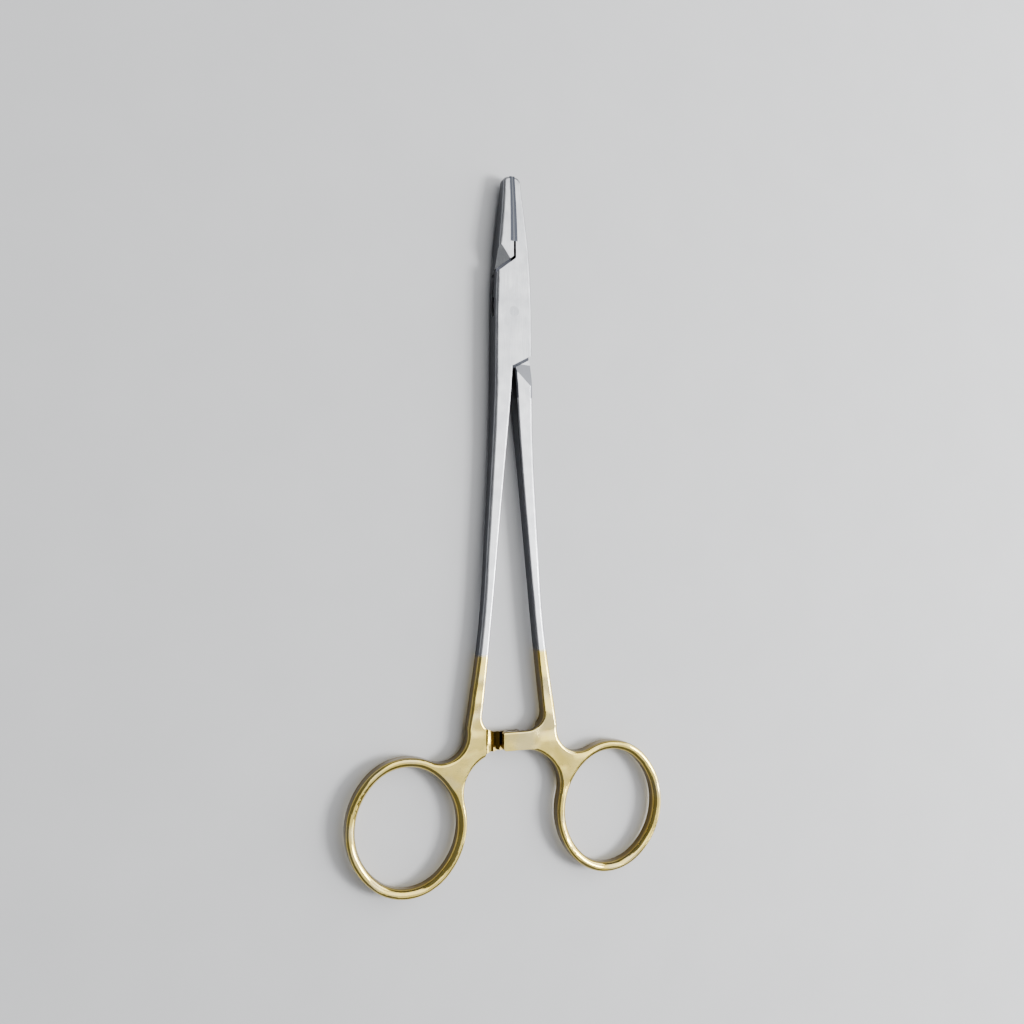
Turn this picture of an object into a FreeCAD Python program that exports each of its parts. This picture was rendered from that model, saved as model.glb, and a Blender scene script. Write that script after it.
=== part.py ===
import FreeCAD, Part
import math
import os
import PartDesign
import Sketcher
from FreeCAD import Vector

# Surgical needle holder with a box lock, lying flat with its jaws closed.
# Origin: the pivot axis, on the underside of the box. +Y to the jaw tips, +Z up, millimetres.

# Driving dimensions
SIZES = [
    ("jaw_length", 29.9, "pivot axis to the jaw tips"),
    ("jaw_tip_half_width", 2.05, "each jaw at its tip"),
    ("jaw_mid_half_width", 3.35, "each jaw half way along"),
    ("jaw_tip_lean", 3.4, "outer edge of a jaw at its tip, degrees"),
    ("jaw_tip_height", 2.5, "both jaws at the tip, across the thickness"),
    ("jaw_taper_start", 1.0, "slanted edge of the box to where the jaws begin to thin"),
    ("tip_corner", 1.4, "rounding of the tip seen from above"),
    ("box_half_width", 4.15, "pivot axis to the side of the box"),
    ("box_height", 4.8, "thickness of the box lock"),
    ("box_shoulder_up", 11.3, "pivot axis to the upper slanted edge"),
    ("box_shoulder_down", 11.7, "pivot axis to the lower slanted edge"),
    ("upper_slant", 37.9, "slope of the upper slanted edge, degrees"),
    ("lower_slant", 28.4, "slope of the lower slanted edge, degrees"),
    ("shoulder_gap", 0.67, "shoulders of the inner half to the cheeks"),
    ("shoulder_bevel", 1.9, "depth of the bevelled corner at each shoulder"),
    ("shoulder_bevel_run", 6.6, "length of the bevel along the outer edge"),
    ("bevel_inset", 0.85, "middle line to the inner corner of the upper bevel"),
    ("tang_height", 1.5, "thin tang that runs through the box"),
    ("tang_play", 0.05, "tang to each cheek"),
    ("flank_gap", 0.1, "tang to the webs at its sides"),
    ("hub_diameter", 5.0, "round middle of the tang"),
    ("flank_angle", 40.0, "back flank of a tang arm above the cross line, degrees"),
    ("tang_inset", 0.25, "tang inside the sides of the box"),
    ("tang_root", 1.0, "tang rooted in the jaw and in the shank"),
    ("opening_angle", 50.0, "travel of the jaws, degrees"),
    ("stop_spare", 2.0, "travel left past the open position, degrees"),
    ("pin_diameter", 2.2, "box lock pin"),
    ("pin_play", 0.03, "pin to the bore of the tang, all round"),
    ("bite_gap", 0.06, "left carbide face to right carbide face"),
    ("insert_length", 14.6, "carbide insert along the jaw"),
    ("insert_depth", 0.55, "carbide insert at the tip, across the jaw"),
    ("insert_root_depth", 0.8, "carbide insert at its inner end"),
    ("relief_width", 0.55, "open slit between the jaws below the inserts"),
    ("shank_top_half_width", 4.25, "outer edge of the shanks at the box"),
    ("shank_quarter_half_width", 4.8, "outer edge a quarter of the way down"),
    ("shank_mid_half_width", 5.9, "outer edge half way down"),
    ("shank_low_half_width", 7.3, "outer edge three quarters down"),
    ("shank_quarter_wire", 3.15, "width of a shank a quarter of the way down"),
    ("shank_mid_wire", 2.5, "width of a shank half way down"),
    ("shank_low_wire", 2.1, "width of a shank three quarters down"),
    ("shank_end_half_gap", 7.1, "inner edge beside the ratchet"),
    ("shank_height", 3.3, "thickness of the shanks and rings"),
    ("shank_taper_start", 1.5, "box to where the shanks begin to thin"),
    ("shank_taper_run", 42.0, "length over which the shanks thin down"),
    ("shank_taper_bow", 0.42, "share of the thinning still to come a third of the way down"),
    ("crotch_gap", 0.5, "shank to shank at the box"),
    ("ratchet_down", 92.5, "pivot axis to the middle of the ratchet bars"),
    ("ratchet_width", 4.0, "ratchet bar along the instrument"),
    ("ratchet_reach", 2.2, "ratchet bar past the middle of the instrument"),
    ("ratchet_root", 6.3, "middle of the instrument to the root of a bar"),
    ("ratchet_root_round", 2.0, "hollow at the root of a bar"),
    ("ratchet_fillet", 4.0, "bar to the inner side of its shank"),
    ("tooth_pitch", 1.41, "ratchet tooth to tooth"),
    ("tooth_height", 0.6, "ratchet tooth"),
    ("tooth_flank", 0.25, "steep side of a ratchet tooth, across"),
    ("tooth_gap", 0.12, "upper tooth tips to lower tooth tips"),
    ("web_start", 2.8, "middle of the instrument to where a bar widens into the ring"),
    ("web_kink", 6.0, "turn where the bar begins to widen, degrees"),
    ("bar_end_bevel", 0.35, "bevelled corners of a bar end"),
    ("ring_drop", 3.7, "middle of the ratchet bars to the finger holes"),
    ("ring_centre_out", 23.2, "ring centres to the middle of the instrument"),
    ("ring_hole_width", 21.7, "finger hole across"),
    ("ring_hole_length", 24.8, "finger hole along"),
    ("ring_wire", 2.0, "ring section seen from above"),
    ("ring_splay", 4.3, "outward lean of the rings, degrees"),
    ("ring_end_radius", 9.5, "finger hole at its two ends"),
    ("ring_join_side", 14.0, "where the bar web runs into the ring, degrees above its middle"),
    ("saddle_drop", 3.5, "middle of the ratchet bars to the hollow between shank and ring"),
    ("saddle_radius", 5.6, "hollow between shank and ring"),
    ("saddle_lean", 8.0, "outer edge of the shank where the hollow begins, degrees"),
    ("outer_round", 0.7, "rounding of the outer edges"),
    ("inner_round", 0.45, "rounding of the edges between the shanks"),
    ("hole_round", 1.15, "rounding of the edges of the finger holes"),
]

doc = FreeCAD.newDocument("needle_holder")
sheet = doc.addObject("Spreadsheet::Sheet", "sizes")
for row, (alias, number, meaning) in enumerate(SIZES, 1):
    sheet.set(f"A{row}", alias)
    sheet.set(f"B{row}", str(number))
    sheet.set(f"C{row}", meaning)
    sheet.setAlias(f"B{row}", alias)
doc.recompute()


def size(alias):
    return float(sheet.get(alias))


# Heights and places that follow from the driving dimensions
mid_height = size("box_height") / 2
slot_height = size("tang_height") + 2 * size("tang_play")
ring_down = size("ratchet_down") + size("ring_drop") + size("ring_hole_length") / 2
handle_end = ring_down + size("ring_hole_length")
upper_slope = math.tan(math.radians(size("upper_slant")))
lower_slope = math.tan(math.radians(size("lower_slant")))
crotch = size("crotch_gap") / 2
seat_start = size("jaw_length") - size("insert_length")
bite = size("bite_gap") / 2


def cheek_top(x):
    """The slanted edge of the cheeks towards the jaws."""
    return size("box_shoulder_up") + x * upper_slope


def cheek_bottom(x):
    """The slanted edge of the cheeks towards the shanks."""
    return -size("box_shoulder_down") + (x + crotch) * lower_slope


def shoulder_top(x):
    return cheek_top(x) + size("shoulder_gap") / math.cos(math.radians(size("upper_slant")))


def shoulder_bottom(x):
    return cheek_bottom(x) - size("shoulder_gap") / math.cos(math.radians(size("lower_slant")))


# Curves of the outlines
def line(start, end):
    return Part.LineSegment(Vector(*start), Vector(*end))


def polyline(points):
    return [line(start, end) for start, end in zip(points, points[1:])]


def closed(points):
    return polyline(points + points[:1])


def curve(points, start_way=None, end_way=None):
    """A smooth curve through the points, with its direction at the ends if given."""
    spline = Part.BSplineCurve()
    vectors = [Vector(*point) for point in points]
    if start_way is None:
        spline.interpolate(Points=vectors)
    else:
        ways = [Vector(*start_way)] + [Vector(0, 0)] * (len(vectors) - 2) + [Vector(*end_way)]
        known = [way.Length > 0 for way in ways]
        spline.interpolate(Points=vectors, Tangents=ways, TangentFlags=known)
    return spline


def bend(start, corner, end, fullness=0.56):
    """A rounded corner from start to end, tangent to the two lines through the corner."""
    first, knee, last = Vector(*start), Vector(*corner), Vector(*end)
    bezier = Part.BezierCurve()
    bezier.setPoles([first, first + (knee - first) * fullness, last + (knee - last) * fullness, last])
    return bezier.toBSpline()


def crossing(point, way, other, other_way):
    """Where two lines in the plane cross."""
    turn = way.x * other_way.y - way.y * other_way.x
    apart = other - point
    return point + way * ((apart.x * other_way.y - apart.y * other_way.x) / turn)


# The outline of a handle: shank, ratchet bar and ring, on the right (1) or left (-1)
def stations():
    """Five places down a shank: distance from the pivot, outer and inner half-width."""
    top = size("box_shoulder_down")
    run = size("ratchet_down") - size("ratchet_width") - top
    outer = [size(f"shank_{place}_half_width") for place in ("top", "quarter", "mid", "low")]
    wires = [size(f"shank_{place}_wire") for place in ("quarter", "mid", "low")]
    inner = [crotch] + [edge - wire for edge, wire in zip(outer[1:], wires)]
    outer.append(size("shank_end_half_gap") + wires[-1])
    inner.append(size("shank_end_half_gap"))
    return [(-top - run * step / 4, outer[step], inner[step]) for step in range(5)]


def arc(side, centre, radius, start, end):
    """An arc given for the right side, mirrored for the left. Angles in degrees."""
    if side < 0:
        start, end = 180 - end, 180 - start
    circle = Part.Circle(Vector(side * centre[0], centre[1]), Vector(0, 0, 1), radius)
    return Part.ArcOfCircle(circle, math.radians(start), math.radians(end))


def on_circle(centre, radius, angle):
    turn = math.radians(angle)
    return centre[0] + radius * math.cos(turn), centre[1] + radius * math.sin(turn)


def ring_arcs():
    """The right finger hole as an oval of four arcs: centre, radius and angles of each."""
    across, along = size("ring_hole_width") / 2, size("ring_hole_length") / 2
    end_radius = size("ring_end_radius")
    rise = along - end_radius
    side_radius = (across ** 2 + rise ** 2 - end_radius ** 2) / (2 * (across - end_radius))
    shift = side_radius - across
    join = math.degrees(math.atan2(rise, shift))
    lean = -size("ring_splay")
    middle = (size("ring_centre_out"), -ring_down)
    arcs = [(0, rise, end_radius, join, 180 - join), (shift, 0, side_radius, 180 - join, 180 + join),
            (0, -rise, end_radius, 180 + join, 360 - join), (-shift, 0, side_radius, -join, join)]
    placed = []
    for x, y, radius, start, end in arcs:
        away, angle = math.hypot(x, y), math.degrees(math.atan2(y, x))
        placed.append((on_circle(middle, away, angle + lean), radius, start + lean, end + lean))
    return placed


def handle_edges(side, inner_start, outer_start):
    """From the crotch down the inner edge, round the bar and the ring, and up the outer edge."""
    top, inward, bottom, outward = ring_arcs()
    wire = size("ring_wire")
    bar_top = -size("ratchet_down") + size("ratchet_width") / 2
    bar_bottom = bar_top - size("ratchet_width")

    saddle_radius = size("saddle_radius")
    saddle_y = -size("ratchet_down") - size("saddle_drop") + saddle_radius
    reach = top[1] + wire + saddle_radius
    saddle_x = top[0][0] - math.sqrt(reach ** 2 - (saddle_y - top[0][1]) ** 2)
    saddle = (saddle_x, saddle_y)
    to_ring = math.degrees(math.atan2(top[0][1] - saddle_y, top[0][0] - saddle_x))
    saddle_start = 180 - size("saddle_lean")
    shank_end = on_circle(saddle, saddle_radius, saddle_start)
    lean = math.radians(size("saddle_lean"))

    down = stations()
    outer = [outer_start] + [(side * x, y) for y, x, _ in down[1:4]]
    outer.append((side * shank_end[0], shank_end[1]))
    end_way = (side * math.sin(lean), -math.cos(lean))
    outer_edge = curve(outer, box_way(side), end_way)

    fillet = size("ratchet_fillet")
    inner = [inner_start] + [(side * x, y) for y, _, x in down[1:4]]
    inner.append((side * size("shank_end_half_gap"), bar_top + fillet))
    inner_edge = curve(inner)
    inner_way = inner_edge.tangent(inner_edge.LastParameter)[0]
    root_knee = Vector(*inner[-1]) + inner_way * (fillet / -inner_way.y)
    bar_start = (side * (size("shank_end_half_gap") - fillet), bar_top)

    end = -size("ratchet_reach")
    cut = size("bar_end_bevel")
    web_start = (side * size("web_start"), bar_bottom)
    join_side = 180 - size("ring_join_side")
    web_end = on_circle(inward[0], inward[1] + wire, join_side)
    web_way = Vector(*on_circle((0, 0), 1, join_side + 90))
    web_end, web_way = Vector(side * web_end[0], web_end[1]), Vector(side * web_way.x, web_way.y)
    web_kink = math.tan(math.radians(size("web_kink")))
    web_knee = crossing(Vector(*web_start), Vector(side, -web_kink), web_end, web_way)
    return [
        inner_edge,
        bend(inner[-1], root_knee, bar_start),
        line(bar_start, (side * (end + cut), bar_top)),
        line((side * (end + cut), bar_top), (side * end, bar_top - cut)),
        line((side * end, bar_top - cut), (side * end, bar_bottom + cut)),
        line((side * end, bar_bottom + cut), (side * (end + cut), bar_bottom)),
        line((side * (end + cut), bar_bottom), web_start),
        bend(web_start, web_knee, web_end),
        arc(side, inward[0], inward[1] + wire, join_side, inward[3]),
        arc(side, bottom[0], bottom[1] + wire, bottom[2], bottom[3]),
        arc(side, outward[0], outward[1] + wire, outward[2], outward[3]),
        arc(side, top[0], top[1] + wire, top[2], to_ring + 180),
        arc(side, saddle, saddle_radius, saddle_start, to_ring + 360),
        outer_edge,
    ]


def finger_hole(side):
    return [arc(side, *part) for part in ring_arcs()]


# The outline of a jaw and of the side of the box, on the right (1) or left (-1)
def side_edge(side):
    """The outer edge from the tip of a jaw down to the level of the pivot."""
    tip = size("jaw_length")
    points = [
        (side * size("jaw_tip_half_width"), tip - size("tip_corner")),
        (side * size("jaw_mid_half_width"), tip / 2),
        (side * size("box_half_width"), 0),
    ]
    lean = math.tan(math.radians(size("jaw_tip_lean")))
    return curve(points, (side * lean, -1), box_way(side))


def box_way(side):
    """Direction of the side of the box, down towards the shanks."""
    spread = size("shank_top_half_width") - size("box_half_width")
    return side * spread, -size("box_shoulder_down")


def parameter_below(edge, boundary):
    """Where an outer edge crosses a slanted edge, as the parameter of the outer edge."""
    low, high = edge.FirstParameter, edge.LastParameter
    for _ in range(50):
        middle = (low + high) / 2
        point = edge.value(middle)
        if point.y > boundary(point.x):
            low = middle
        else:
            high = middle
    return low


def box_side(y):
    """Half-width of the box between the pivot and the shanks."""
    share = -y / size("box_shoulder_down")
    return size("box_half_width") * (1 - share) + size("shank_top_half_width") * share


def biting_edges(side, slit, slit_start):
    """From the slit up the seat of the carbide insert and round the tip to the outer edge."""
    tip = size("jaw_length")
    corner = size("tip_corner")
    outer = size("jaw_tip_half_width")
    points = [
        (side * slit, slit_start),
        (side * slit, seat_start),
        (side * (bite + size("insert_root_depth")), seat_start),
        (side * (bite + size("insert_depth")), tip),
        (side * (outer - corner), tip),
    ]
    return polyline(points) + [bend(points[-1], (side * outer, tip), (side * outer, tip - corner))]


# Features of a body
def attach(body, role, name, edges, lift=None):
    """A sketch on one of the body's own planes, raised by an expression if given."""
    sketch = body.newObject("Sketcher::SketchObject", name)
    plane = next(item for item in body.Origin.OriginFeatures if item.Role == role)
    sketch.AttachmentSupport = [(plane, "")]
    sketch.MapMode = "FlatFace"
    if lift:
        sketch.setExpression(".AttachmentOffset.Base.z", lift)
    sketch.addGeometry(edges, False)
    return sketch


def extrude(body, kind, sketch, length, symmetric=False):
    """A pad or pocket of a sketch with its length bound to the sheet."""
    feature = body.newObject(f"PartDesign::{kind}", f"{sketch.Name}_{kind.lower()}")
    feature.Profile = sketch
    feature.setExpression("Length", length)
    if symmetric:
        feature.SideType = "Symmetric"
    body.Tip = feature
    doc.recompute()
    return feature


def thin_jaws(body):
    """The jaws taper in thickness from the slanted edges to the tip."""
    start = size("box_shoulder_up") + size("jaw_taper_start")
    tip = size("jaw_length")
    for name, way in (("above", 1), ("below", -1)):
        low = mid_height + way * size("jaw_tip_height") / 2
        high = mid_height + way * mid_height
        beyond = mid_height + way * size("box_height")
        tip_slope = 2 * (low - high) / (tip - start)
        edges = [curve([(start, high), (tip, low)], (1, 0), (1, tip_slope))]
        edges += polyline([(tip, low), (tip, beyond), (start, beyond), (start, high)])
        sketch = attach(body, "YZ_Plane", f"{body.Name}_jaw_{name}", edges)
        extrude(body, "Pocket", sketch, "4 * sizes.box_half_width", True)


def thin_shanks(body):
    """The shanks thin down from the box to the height of the rings."""
    start = -size("box_shoulder_down") - size("shank_taper_start")
    run = size("shank_taper_run")
    for name, way in (("above", 1), ("below", -1)):
        high = mid_height + way * mid_height
        low = mid_height + way * size("shank_height") / 2
        beyond = mid_height + way * size("box_height")
        third = low + (high - low) * size("shank_taper_bow")
        bow = curve([(start, high), (start - run / 3, third), (start - run, low)], (-1, 0), (-1, 0))
        end = start - run
        edges = [bow] + polyline([(end, low), (-handle_end, low), (-handle_end, beyond),
                                  (start, beyond), (start, high)])
        sketch = attach(body, "YZ_Plane", f"{body.Name}_shank_{name}", edges)
        extrude(body, "Pocket", sketch, "4 * sizes.ring_centre_out + 4 * sizes.ring_hole_width", True)


def cut_ratchet(body, side, way):
    """Halve the ratchet bar in height and leave its teeth, facing up (1) or down (-1)."""
    root = size("ratchet_root")
    hollow = size("ratchet_root_round")
    tooth_tip = mid_height - way * size("tooth_gap") / 2
    tooth_base = tooth_tip - way * size("tooth_height")
    beyond = mid_height + way * size("box_height")
    first = root - hollow
    profile = [(first, tooth_base)]
    pitch, flank = size("tooth_pitch"), size("tooth_flank")
    count = int((first + size("ratchet_reach")) / pitch) + 1
    for tooth in range(count):
        start = first - tooth * pitch
        profile += [(start - flank, tooth_tip), (start - pitch, tooth_base)]
    profile += [(profile[-1][0], beyond), (root, beyond)]
    profile.append((root, tooth_base + way * hollow))
    points = [(side * x, z) for x, z in profile]
    edges = polyline(points)
    edges.append(bend(points[-1], (side * root, tooth_base), points[0]))
    sketch = attach(body, "XZ_Plane", f"{body.Name}_teeth", edges, "sizes.ratchet_down")
    extrude(body, "Pocket", sketch, "2.6 * sizes.ratchet_width", True)


def drill(body, name, radius, length):
    hole = Part.Circle(Vector(0, 0, 0), Vector(0, 0, 1), radius)
    sketch = attach(body, "XY_Plane", name, [hole], "sizes.box_height / 2")
    return extrude(body, "Pocket", sketch, length, True)


def edges_at(shape, accepts):
    """Names of the lying edges whose start, middle and end points all pass a test."""
    names = []
    for number, edge in enumerate(shape.Edges, 1):
        first, last = edge.ParameterRange
        places = [edge.valueAt(first + (last - first) * share) for share in (0.02, 0.5, 0.98)]
        if abs(edge.tangentAt((first + last) / 2).z) < 0.5 and all(accepts(place) for place in places):
            names.append(f"Edge{number}")
    return names


def shank_middle(y):
    """Half-width at the middle of the material, from the box down to the ratchet."""
    down = stations()
    if y > down[0][0]:
        return size("box_half_width") / 2
    for upper, lower in zip(down, down[1:]):
        if y > lower[0]:
            share = (upper[0] - y) / (upper[0] - lower[0])
            return (upper[1] + upper[2]) / 2 * (1 - share) + (lower[1] + lower[2]) / 2 * share
    return size("ratchet_root") / 2


def is_hole(place):
    """On the edges of a finger hole."""
    from_centre = Vector(abs(place.x) - size("ring_centre_out"), place.y + ring_down).Length
    return from_centre < (size("ring_hole_length") + size("ring_wire")) / 2


def is_outer(place):
    """On the outer edges of the box, shank and ring, and along the web."""
    clear_of_tang = abs(place.z - mid_height) > slot_height / 2
    return clear_of_tang and abs(place.x) > shank_middle(place.y) * 1.02 and not is_hole(place)


def is_inner(place):
    """On the edges between the shanks, down to the ratchet bars."""
    below_box = place.y < -size("box_shoulder_down") - 0.01
    above_bars = place.y > size("ratchet_width") - size("ratchet_down")
    return below_box and above_bars and abs(place.x) < shank_middle(place.y) * 0.98


def round_edges(body, name, accepts, radius):
    """Round the edges of the body that pass a test."""
    base = body.Tip
    feature = body.newObject("PartDesign::Fillet", name)
    feature.Base = (base, edges_at(base.Shape, accepts))
    feature.setExpression("Radius", radius)
    body.Tip = feature
    doc.recompute()


def finish_half(body, side, way):
    """What both halves share: taper, rounded edges and ratchet teeth."""
    thin_jaws(body)
    thin_shanks(body)
    round_edges(body, f"{body.Name}_inner_round", is_inner, "sizes.inner_round")
    round_edges(body, f"{body.Name}_outer_round", is_outer, "sizes.outer_round")
    round_edges(body, f"{body.Name}_hole_round", is_hole, "sizes.hole_round")
    cut_ratchet(body, side, way)


# The outer half: right jaw, box with its cheeks, left shank, ring and lower ratchet bar
def slot_polygon(way):
    """Where a side of the tang sits and swings, above the pivot (1) or below (-1)."""
    reach = 2 * size("box_half_width")
    web_angle = size("opening_angle") + size("stop_spare") - size("flank_angle")
    length = size("box_shoulder_up") + size("box_shoulder_down")
    drop = reach * math.tan(math.radians(web_angle))
    return closed([(0, 0), (0, way * length), (-way * reach, way * length), (-way * reach, -way * drop)])


def female_half():
    body = doc.addObject("PartDesign::Body", "female_half")
    right, left = side_edge(1), side_edge(-1)
    left.segment(parameter_below(left, cheek_top), left.LastParameter)
    upper_left = left.StartPoint
    slit = size("relief_width") - size("flank_gap")
    edges = biting_edges(1, slit, cheek_top(slit)) + [right]
    lower_y = cheek_bottom(box_side(0))
    lower_right = (box_side(lower_y), cheek_bottom(box_side(lower_y)))
    crotch_corner = (-crotch, cheek_bottom(-crotch))
    shank_start = (-box_side(crotch_corner[1]), crotch_corner[1])
    edges += polyline([(size("box_half_width"), 0), lower_right, crotch_corner])
    edges += handle_edges(-1, crotch_corner, shank_start)
    edges += [line(shank_start, (-size("box_half_width"), 0)), left]
    edges += [line((upper_left.x, upper_left.y), (slit, cheek_top(slit)))]
    edges += finger_hole(-1)
    blank = attach(body, "XY_Plane", "female_outline", edges)
    extrude(body, "Pad", blank, "sizes.box_height")
    finish_half(body, -1, 1)
    slot = "sizes.tang_height + 2 * sizes.tang_play"
    for name, way in (("slot_left", 1), ("slot_right", -1)):
        sketch = attach(body, "XY_Plane", name, slot_polygon(way), "sizes.box_height / 2")
        extrude(body, "Pocket", sketch, slot, True)
    drill(body, "slot_middle", size("hub_diameter") / 2 + size("flank_gap"), slot)
    drill(body, "pin_seat", size("pin_diameter") / 2, "2 * sizes.box_height")
    return body


# The inner half: left jaw, tang, right shank, ring and upper ratchet bar
def tang_polygon(way, inner, shoulder, outer):
    """One arm of the tang, from the hub to the jaw (1) or to the shank (-1)."""
    reach = size("box_half_width") - size("tang_inset")
    rise = reach * math.tan(math.radians(size("flank_angle")))
    deep = size("tang_root")
    return closed([
        (0, 0),
        (-way * size("flank_gap"), way * size("flank_gap")),
        (-way * inner, shoulder),
        (-way * inner, shoulder + way * deep),
        (outer.x + way * size("tang_inset"), outer.y + way * deep),
        (-way * reach, way * rise),
    ])


def male_half():
    body = doc.addObject("PartDesign::Body", "male_blank")
    left = side_edge(-1)
    left.segment(left.FirstParameter, parameter_below(left, shoulder_top))
    jaw_corner = left.EndPoint
    slit = size("flank_gap")
    lower_y = shoulder_bottom(box_side(shoulder_bottom(size("shank_top_half_width"))))
    shank_corner = Vector(box_side(lower_y), lower_y)
    crotch_corner = (crotch, shoulder_bottom(crotch))

    hub = Part.Circle(Vector(0, 0, 0), Vector(0, 0, 1), size("hub_diameter") / 2)
    middle = "sizes.box_height / 2"
    arms = [
        ("tang_hub", [hub]),
        ("tang_jaw_arm", tang_polygon(1, slit, shoulder_top(-slit), jaw_corner)),
        ("tang_shank_arm", tang_polygon(-1, crotch + slit, crotch_corner[1], shank_corner)),
    ]
    for name, edges in arms:
        sketch = attach(body, "XY_Plane", name, edges, middle)
        extrude(body, "Pad", sketch, "sizes.tang_height", True)

    edges = biting_edges(-1, slit, shoulder_top(-slit)) + [left]
    edges += [line((jaw_corner.x, jaw_corner.y), (-slit, shoulder_top(-slit)))]
    jaw = attach(body, "XY_Plane", "left_jaw_outline", edges)
    extrude(body, "Pad", jaw, "sizes.box_height")
    edges = handle_edges(1, crotch_corner, (shank_corner.x, shank_corner.y))
    edges += [line(crotch_corner, (shank_corner.x, shank_corner.y))] + finger_hole(1)
    handle = attach(body, "XY_Plane", "right_handle_outline", edges)
    extrude(body, "Pad", handle, "sizes.box_height")
    finish_half(body, 1, -1)
    drill(body, "pin_bore", size("pin_diameter") / 2 + size("pin_play"), "2 * sizes.box_height")

    bevels = []
    outer_run = size("shoulder_bevel_run")
    for name, way in (("above", 1), ("below", -1)):
        top = mid_height + way * mid_height
        low = top - way * size("shoulder_bevel")
        jaw_inner = Vector(-size("bevel_inset"), shoulder_top(-size("bevel_inset")), top)
        jaw_low = Vector(jaw_corner.x, jaw_corner.y, low)
        jaw_outer = Vector(jaw_corner.x, jaw_corner.y + outer_run, top)
        bevels.append(bevel(f"jaw_bevel_{name}", jaw_inner, jaw_low, jaw_outer, way))
        shank_inner = Vector(0, shoulder_bottom(0), top)
        shank_low = Vector(shank_corner.x, shank_corner.y, low)
        shank_outer = Vector(shank_corner.x, shank_corner.y - outer_run, top)
        bevels.append(bevel(f"shank_bevel_{name}", shank_inner, shank_low, shank_outer, way))
    tool = doc.addObject("Part::MultiFuse", "shoulder_bevels")
    tool.Shapes = bevels
    half = doc.addObject("Part::Cut", "male_half")
    half.Base = body
    half.Tool = tool
    return half


def bevel(name, inner, low, outer, way):
    """What a bevel cuts off: all that lies past a plane, with the shoulder as its wall."""
    plane = doc.addObject("Part::Feature", f"{name}_plane")
    corners = [inner, inner + (low - inner) * 2, inner + (outer - inner) * 2, inner]
    plane.Shape = Part.Face(Part.makePolygon(corners))
    prism = doc.addObject("Part::Extrusion", name)
    prism.Base = plane
    prism.DirMode = "Custom"
    prism.Dir = Vector(0, 0, way)
    prism.Solid = True
    prism.setExpression("LengthFwd", "sizes.box_height")
    return prism


# The loose pieces
def box_lock_pin():
    pin = doc.addObject("Part::Cylinder", "box_lock_pin")
    pin.setExpression("Radius", "sizes.pin_diameter / 2")
    pin.setExpression("Height", "sizes.box_height")
    return pin


def jaw_insert(name, side):
    """A carbide plate on the seat of a jaw."""
    body = doc.addObject("PartDesign::Body", name)
    tip = size("jaw_length")
    points = [
        (side * bite, seat_start),
        (side * (bite + size("insert_root_depth")), seat_start),
        (side * (bite + size("insert_depth")), tip),
        (side * bite, tip),
    ]
    blank = attach(body, "XY_Plane", f"{name}_outline", closed(points))
    extrude(body, "Pad", blank, "sizes.box_height")
    thin_jaws(body)
    return body


nodes = [
    female_half(),
    male_half(),
    box_lock_pin(),
    jaw_insert("left_jaw_insert", -1),
    jaw_insert("right_jaw_insert", 1),
]
doc.recompute()

for item in doc.Objects:
    if "Invalid" in item.State or "Error" in item.State:
        raise RuntimeError(f"{item.Name} failed: {item.State}")
for node in nodes:
    if node.Shape.isNull() or not node.Shape.isValid() or len(node.Shape.Solids) != 1:
        raise RuntimeError(f"{node.Label} is not one sound solid")

os.makedirs("parts", exist_ok=True)
for node in nodes:
    node.Shape.exportStep(f"parts/{node.Label}.step")
    print(node.Label, round(node.Shape.Volume, 2), node.Shape.BoundBox)
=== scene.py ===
import math

import bpy
from mathutils import Matrix, Vector

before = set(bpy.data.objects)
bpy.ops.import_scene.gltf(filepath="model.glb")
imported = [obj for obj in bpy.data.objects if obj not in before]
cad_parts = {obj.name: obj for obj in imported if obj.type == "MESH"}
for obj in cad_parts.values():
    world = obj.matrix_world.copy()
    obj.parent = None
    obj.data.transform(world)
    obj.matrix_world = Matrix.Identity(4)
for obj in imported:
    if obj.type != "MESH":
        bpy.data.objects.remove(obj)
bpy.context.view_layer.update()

# Places and sizes, in metres. Origin: the pivot axis on the underside of the box lock.
MIDDLE_HEIGHT = 0.0024          # half the thickness of the box lock
BOX_REACH = 0.013               # pivot axis to beyond the ends of the box lock
TANG_REACH = 0.0015             # middle height to beyond the flats of the tang
TOP_EDGE = 0.0113               # upper slanted edge of the cheeks, where it crosses x = 0
TOP_SLOPE = math.tan(math.radians(37.9))
BOTTOM_EDGE = -0.0116           # lower slanted edge, likewise
BOTTOM_SLOPE = math.tan(math.radians(28.4))
GAP_BLEND = 0.0004              # the tang has a painted shade this far below the cheeks, then it fades
FACET_PLACE = -0.0150           # middle of the facet below the lower shoulder
FACET_REACH = 0.0037            # half its length
RATCHET_PLACE = -0.0925         # middle of the ratchet's bars
BAR_REACH = 0.003               # from there to beyond their sides
TEETH_REACH = 0.0045            # middle plane to beyond the last tooth
TOOTH_REACH = 0.0008            # middle height to beyond the roots of the teeth
PLATING_TOP = -0.0737           # where the gold plating of the handles begins
PLATING_TILT = 0.05             # the plating line runs a little askew
PLATING_BLEND = 0.0004          # half the length over which it sets in
PLATING_WAVE = 0.0006           # how far the line wanders
SWELL_BLEND = 0.012             # half the length over which the forged surface turns uneven
BITE_PITCH = 0.0005             # grooves of the jaws' bite, one to the next
SEAM_START = 0.00006            # a painted highlight lies along the seam of the inserts as far as this from x = 0
SEAM_END = 0.00014              # and has faded out here
FLOOR_PLACE = -0.0001           # just under the instrument
FLOOR_SIZE = 12.0

# Depth of the relief, in metres
SWELL_DEPTH = 0.0007
SCRATCH_DEPTH = 0.000004
PIN_SCRATCH_DEPTH = 0.000005
BITE_DEPTH = 0.00005
GRAIN_SHARE = 0.2               # height of the grain against the bite's grooves

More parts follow.
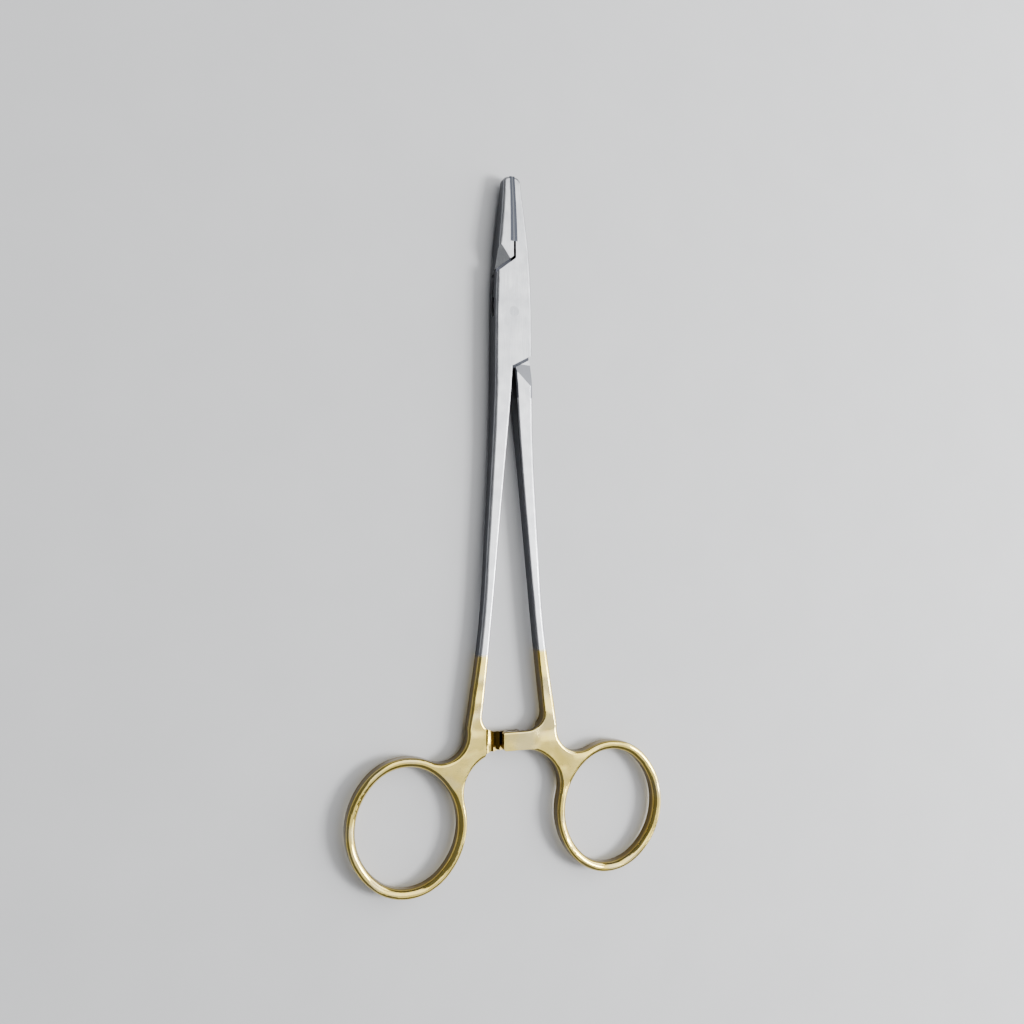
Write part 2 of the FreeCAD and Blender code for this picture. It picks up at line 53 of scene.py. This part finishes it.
# Fineness of the patterns, in grains to the metre
WAVE_GRAIN = 400.0
CLOUD_GRAIN = 260.0             # soft clouds in steel and gold
PATCH_GRAIN = 170.0             # greyer patches in the gold, placed at random
SWELL_GRAIN = 130.0
CARBIDE_GRAIN = 9000.0
PAPER_GRAIN = 60.0
BRUSHED_GRAIN = (9000.0, 220.0, 9000.0)         # fine scratches along the instrument
PIN_BRUSHED_GRAIN = (7000.0, 300.0, 7000.0)     # likewise, on the end of the pin

# How flat a face lies: 1 is level and 0 is upright
WALL_FLATNESS = 0.3             # a wall below this
SLOPE_FLATNESS = 0.75           # no wall above this
FACET_FLATNESS = 0.985          # the facet slants more than this
LEVEL_FLATNESS = 0.95           # a level face above this

# Parts of a pattern's range over which one colour passes into the next
SOFT = (0.3, 0.7)
CRISP = (0.35, 0.65)
PATCHY = (0.5, 0.68)

# Roughness: the least, and what a pattern adds to it
SATIN = (0.28, 0.12)
POLISHED = (0.13, 0.06)
PIN_SATIN = (0.33, 0.10)
SINTERED = (0.35, 0.20)
PAPER_ROUGHNESS = 0.8

# How much of a darker or greyer colour shows, painted shade included
STREAK_SHARE = 0.5
FACET_SHARE = 0.9
STEEL_SHADE_SHARE = 0.95
PATCH_SHARE = 0.4
TEETH_SHADE_SHARE = 0.6
GOLD_SHADE_SHARE = 0.9

# Colours
STEEL_GREY = (0.50, 0.51, 0.53, 1)
STEEL_PALE = (0.74, 0.75, 0.76, 1)
STEEL_STREAK = (0.40, 0.41, 0.43, 1)
STEEL_FACET = (0.15, 0.157, 0.175, 1)
# painted shade on upright steel walls and on the tang in the gaps
STEEL_PAINTED_SHADE = (0.04, 0.043, 0.055, 1)
GOLD_DEEP = (0.80, 0.61, 0.14, 1)
GOLD_PALE = (0.90, 0.72, 0.21, 1)
GOLD_GREYISH = (0.64, 0.58, 0.42, 1)
# painted shade on the toothed faces of the ratchet, between the bars
GOLD_TEETH_SHADE = (0.24, 0.15, 0.06, 1)
# painted shade on upright gold walls
GOLD_PAINTED_SHADE = (0.09, 0.055, 0.018, 1)
PIN_GREY = (0.38, 0.39, 0.41, 1)
PIN_PALE = (0.48, 0.49, 0.51, 1)
CARBIDE_DARK = (0.05, 0.054, 0.068, 1)
CARBIDE_GREY = (0.09, 0.098, 0.118, 1)
# painted highlight along the seam of the inserts
CARBIDE_SEAM_HIGHLIGHT = (0.22, 0.23, 0.25, 1)
PAPER_GREY = (0.60, 0.605, 0.615, 1)
PAPER_PALE = (0.66, 0.665, 0.675, 1)
ROOM_COLOUR = (0.75, 0.78, 0.82, 1)
ROOM_STRENGTH = 0.2

# Camera
CAMERA_PLACE = Vector((-0.07442, -0.0497, 0.19465))
CAMERA_RIGHT = Vector((0.9321, -0.0020, 0.3622))
CAMERA_DOWN = Vector((0.0093, -0.9995, -0.0293))
CAMERA_AHEAD = Vector((0.3621, 0.0307, -0.9316))
CAMERA_LENS = 33.4              # millimetres
CAMERA_NEAR = 0.005


class Nodes:
    """A short way to write a material. A value is a number, a colour or another node's output."""

    def __init__(self, name):
        self.material = bpy.data.materials.new(name)
        self.material.use_nodes = True
        self.tree = self.material.node_tree
        self.tree.nodes.clear()
        self.shader = self.add("ShaderNodeBsdfPrincipled")
        output = self.add("ShaderNodeOutputMaterial")
        self.feed(self.shader.outputs["BSDF"], output.inputs["Surface"])
        self.place = self.add("ShaderNodeTexCoord").outputs["Object"]

    def add(self, kind, **settings):
        node = self.tree.nodes.new(kind)
        for key, value in settings.items():
            setattr(node, key, value)
        return node

    def feed(self, value, target):
        if isinstance(value, bpy.types.NodeSocket):
            self.tree.links.new(value, target)
        else:
            target.default_value = value

    def axes(self, vector):
        """The three numbers of a vector."""
        parts = self.add("ShaderNodeSeparateXYZ")
        self.feed(vector, parts.inputs["Vector"])
        return [parts.outputs[axis] for axis in "XYZ"]

    def math(self, operation, *values):
        node = self.add("ShaderNodeMath", operation=operation)
        for value, target in zip(values, node.inputs):
            self.feed(value, target)
        return node.outputs["Value"]

    def product(self, first, *others):
        for other in others:
            first = self.math("MULTIPLY", first, other)
        return first

    def within(self, value, middle, reach):
        """1 where a value is less than the reach away from a middle."""
        away = self.math("ABSOLUTE", self.math("SUBTRACT", value, middle))
        return self.math("LESS_THAN", away, reach)

    def ramp(self, value, start, end, smooth=False):
        """0 before the start, 1 after the end, and a blend between them."""
        node = self.add("ShaderNodeMapRange")
        node.interpolation_type = "SMOOTHSTEP" if smooth else "LINEAR"
        node.inputs["From Min"].default_value = start
        node.inputs["From Max"].default_value = end
        self.feed(value, node.inputs["Value"])
        return node.outputs["Result"]

    def mix(self, share, first, second, kind="RGBA"):
        """The first value, with a share of the second."""
        node = self.add("ShaderNodeMix", data_type=kind)
        self.feed(share, node.inputs["Factor"])
        self.feed(first, node.inputs["A"])
        self.feed(second, node.inputs["B"])
        return node.outputs["Result"]

    def noise(self, grain, detail):
        """A cloudy pattern. Three grains, one for each axis, stretch it."""
        node = self.add("ShaderNodeTexNoise")
        node.inputs["Detail"].default_value = detail
        node.inputs["Roughness"].default_value = 0.55
        place = self.place
        if isinstance(grain, tuple):
            mapping = self.add("ShaderNodeMapping")
            mapping.inputs["Scale"].default_value = grain
            self.feed(place, mapping.inputs["Vector"])
            place, grain = mapping.outputs["Vector"], 1.0
        node.inputs["Scale"].default_value = grain
        self.feed(place, node.inputs["Vector"])
        return node.outputs["Fac"]

    def flatness(self):
        """1 on faces that lie flat, 0 on upright ones."""
        normal = self.add("ShaderNodeNewGeometry").outputs["Normal"]
        return self.math("ABSOLUTE", self.axes(normal)[2])

    def walls(self):
        """1 on upright walls, 0 on faces that lie flat or slope gently."""
        return self.ramp(self.flatness(), SLOPE_FLATNESS, WALL_FLATNESS)

    def rough(self, pattern, finish):
        least, added = finish
        return self.math("MULTIPLY_ADD", pattern, added, least)

    def surface(self, colour, roughness, metallic=0.0):
        self.feed(colour, self.shader.inputs["Base Color"])
        self.feed(roughness, self.shader.inputs["Roughness"])
        self.shader.inputs["Metallic"].default_value = metallic

    def relief(self, height, depth):
        node = self.add("ShaderNodeBump")
        node.inputs["Distance"].default_value = depth
        self.feed(height, node.inputs["Height"])
        self.feed(node.outputs["Normal"], self.shader.inputs["Normal"])


# Where the painted shade and the facet of the halves, and the bite of the inserts lie
def tang_shade_in_gaps(n, x, y, z):
    """1 on the flats of the tang that are seen through the gaps at its shoulders, which get a
    painted shade.
    """
    to_top = n.math("SUBTRACT", y, n.math("MULTIPLY", x, TOP_SLOPE))
    to_bottom = n.math("SUBTRACT", y, n.math("MULTIPLY", x, BOTTOM_SLOPE))
    top = n.ramp(to_top, TOP_EDGE - 2 * GAP_BLEND, TOP_EDGE - GAP_BLEND)
    bottom = n.ramp(to_bottom, BOTTOM_EDGE + 2 * GAP_BLEND, BOTTOM_EDGE + GAP_BLEND)
    inside = n.within(z, MIDDLE_HEIGHT, TANG_REACH)
    near = n.within(y, 0.0, BOX_REACH)
    level = n.math("GREATER_THAN", n.flatness(), LEVEL_FLATNESS)
    return n.product(n.math("MAXIMUM", top, bottom), inside, near, level)


def lower_facet(n, x, y):
    """1 on the ground facet below the lower shoulder of the box, on the right shank."""
    near = n.within(y, FACET_PLACE, FACET_REACH)
    slanted = n.math("LESS_THAN", n.flatness(), FACET_FLATNESS)
    right = n.math("GREATER_THAN", x, 0.0)
    return n.product(near, slanted, right)


def ratchet_teeth(n, x, y, z):
    """1 on the toothed faces of the ratchet, which lie about the middle height and get a painted
    shade.
    """
    inside = n.within(z, MIDDLE_HEIGHT, TOOTH_REACH)
    near = n.within(x, 0.0, TEETH_REACH)
    across = n.within(y, RATCHET_PLACE, BAR_REACH)
    return n.product(inside, near, across)


def cross_cut(n, y, z):
    """Two crossing sets of fine grooves, on upright faces alone."""
    grooves = []
    for way in ("ADD", "SUBTRACT"):
        along = n.math("MULTIPLY", n.math(way, y, z), math.pi / BITE_PITCH)
        grooves.append(n.math("ABSOLUTE", n.math("SINE", along)))
    return n.product(*grooves, n.walls())


# Materials
def instrument_steel():
    """Satin brushed steel, plated with polished gold below the plating line."""
    n = Nodes("instrument_steel")
    x, y, z = n.axes(n.place)
    brushing = n.noise(BRUSHED_GRAIN, 4.0)
    cloud = n.noise(CLOUD_GRAIN, 4.0)
    wall = n.walls()

    wave = n.math("MULTIPLY", n.math("SUBTRACT", n.noise(WAVE_GRAIN, 3.0), 0.5), PLATING_WAVE)
    askew = n.math("SUBTRACT", wave, n.math("MULTIPLY", x, PLATING_TILT))
    along = n.math("ADD", y, askew)
    plated = n.ramp(along, PLATING_TOP + PLATING_BLEND, PLATING_TOP - PLATING_BLEND)

    streak = n.product(n.ramp(brushing, *CRISP), STREAK_SHARE)
    facet = n.product(lower_facet(n, x, y), FACET_SHARE)
    # Upright walls and the tang seen through the gaps get a painted shade, near black.
    painted_shade = n.math("MAXIMUM", wall, tang_shade_in_gaps(n, x, y, z))
    steel = n.mix(n.ramp(cloud, *SOFT), STEEL_GREY, STEEL_PALE)
    steel = n.mix(streak, steel, STEEL_STREAK)
    steel = n.mix(facet, steel, STEEL_FACET)
    steel = n.mix(n.product(painted_shade, STEEL_SHADE_SHARE), steel, STEEL_PAINTED_SHADE)

    patch = n.ramp(n.noise(PATCH_GRAIN, 1.0), *PATCHY, smooth=True)
    # Painted shade: brown on the toothed faces of the ratchet, near black on the other gold
    # walls.
    teeth_shade = n.product(ratchet_teeth(n, x, y, z), TEETH_SHADE_SHARE)
    gold_wall_shade = n.product(wall, n.math("SUBTRACT", GOLD_SHADE_SHARE, teeth_shade))
    gold = n.mix(n.ramp(cloud, *CRISP), GOLD_DEEP, GOLD_PALE)
    gold = n.mix(n.product(patch, PATCH_SHARE), gold, GOLD_GREYISH)
    gold = n.mix(teeth_shade, gold, GOLD_TEETH_SHADE)
    gold = n.mix(gold_wall_shade, gold, GOLD_PAINTED_SHADE)

    roughness = n.mix(plated, n.rough(brushing, SATIN), n.rough(cloud, POLISHED), "FLOAT")
    n.surface(n.mix(plated, steel, gold), roughness, metallic=1.0)

    forged = n.ramp(y, PLATING_TOP + SWELL_BLEND, PLATING_TOP - SWELL_BLEND)
    swell = n.product(n.noise(SWELL_GRAIN, 1.0), SWELL_DEPTH, forged)
    scratch = n.product(brushing, SCRATCH_DEPTH)
    n.relief(n.math("ADD", swell, scratch), 1.0)
    return n.material


def pin_steel():
    """Brushed end of the pin, flush with the box."""
    n = Nodes("pin_steel")
    brushing = n.noise(PIN_BRUSHED_GRAIN, 3.0)
    steel = n.mix(n.ramp(brushing, *SOFT), PIN_GREY, PIN_PALE)
    n.surface(steel, n.rough(brushing, PIN_SATIN), metallic=1.0)
    n.relief(brushing, PIN_SCRATCH_DEPTH)
    return n.material


def carbide():
    """Dark sintered carbide with a fine cross-cut bite, with a painted highlight along the seam.
    """
    n = Nodes("carbide")
    x, y, z = n.axes(n.place)
    grain = n.noise(CARBIDE_GRAIN, 4.0)
    # A painted highlight runs along the seam of the inserts.
    away = n.ramp(n.math("ABSOLUTE", x), SEAM_START, SEAM_END)
    grey = n.mix(n.ramp(grain, *SOFT), CARBIDE_DARK, CARBIDE_GREY)
    grey = n.mix(away, CARBIDE_SEAM_HIGHLIGHT, grey)
    n.surface(grey, n.rough(grain, SINTERED), metallic=0.9)
    bite = n.math("MULTIPLY_ADD", grain, GRAIN_SHARE, cross_cut(n, y, z))
    n.relief(bite, BITE_DEPTH)
    return n.material


def floor_paper():
    n = Nodes("floor_paper")
    n.surface(n.mix(n.noise(PAPER_GRAIN, 4.0), PAPER_GREY, PAPER_PALE), PAPER_ROUGHNESS)
    return n.material


# Floor, light and camera
def floor():
    bpy.ops.mesh.primitive_plane_add(size=FLOOR_SIZE, location=(0, 0, FLOOR_PLACE))
    plane = bpy.context.object
    plane.name = "floor"
    plane.data.materials.append(floor_paper())


def area_light(name, place, target, size, power):
    """A rectangular lamp that faces its target, with its power in watts."""
    data = bpy.data.lights.new(name, "AREA")
    data.shape = "RECTANGLE"
    data.size, data.size_y = size
    data.energy = power
    lamp = bpy.data.objects.new(name, data)
    bpy.context.collection.objects.link(lamp)
    lamp.location = place
    aim = Vector(target) - Vector(place)
    lamp.rotation_euler = aim.to_track_quat("-Z", "Y").to_euler()


def studio():
    middle = (0, -0.046, 0)
    area_light("key", (0.56, -0.14, 0.58), middle, (0.22, 0.22), 7.5)
    area_light("sky", (0.23, 0.25, 0.60), (0.23, 0.25, 0.0), (0.56, 0.9), 4.4)
    area_light("fill", (0.23, -0.40, 0.60), (0.23, -0.40, 0.0), (0.56, 0.36), 0.7)
    area_light("rim", (0.60, 0.0, 0.26), middle, (0.9, 0.4), 5.0)
    world = bpy.data.worlds.new("room")
    bpy.context.scene.world = world
    world.use_nodes = True
    room = world.node_tree.nodes["Background"]
    room.inputs["Color"].default_value = ROOM_COLOUR
    room.inputs["Strength"].default_value = ROOM_STRENGTH


def camera():
    data = bpy.data.cameras.new("camera")
    data.lens = CAMERA_LENS
    data.clip_start = CAMERA_NEAR
    item = bpy.data.objects.new("camera", data)
    bpy.context.collection.objects.link(item)
    axes = Matrix((CAMERA_RIGHT, -CAMERA_DOWN, -CAMERA_AHEAD)).transposed().normalized()
    item.matrix_world = Matrix.Translation(CAMERA_PLACE) @ axes.to_4x4()
    bpy.context.scene.camera = item


def dress(material, *nodes):
    for node in nodes:
        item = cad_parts[node]
        item.data.materials.clear()
        item.data.materials.append(material)


camera()
floor()
studio()
dress(instrument_steel(), "female_half", "male_half")
dress(pin_steel(), "box_lock_pin")
dress(carbide(), "left_jaw_insert", "right_jaw_insert")
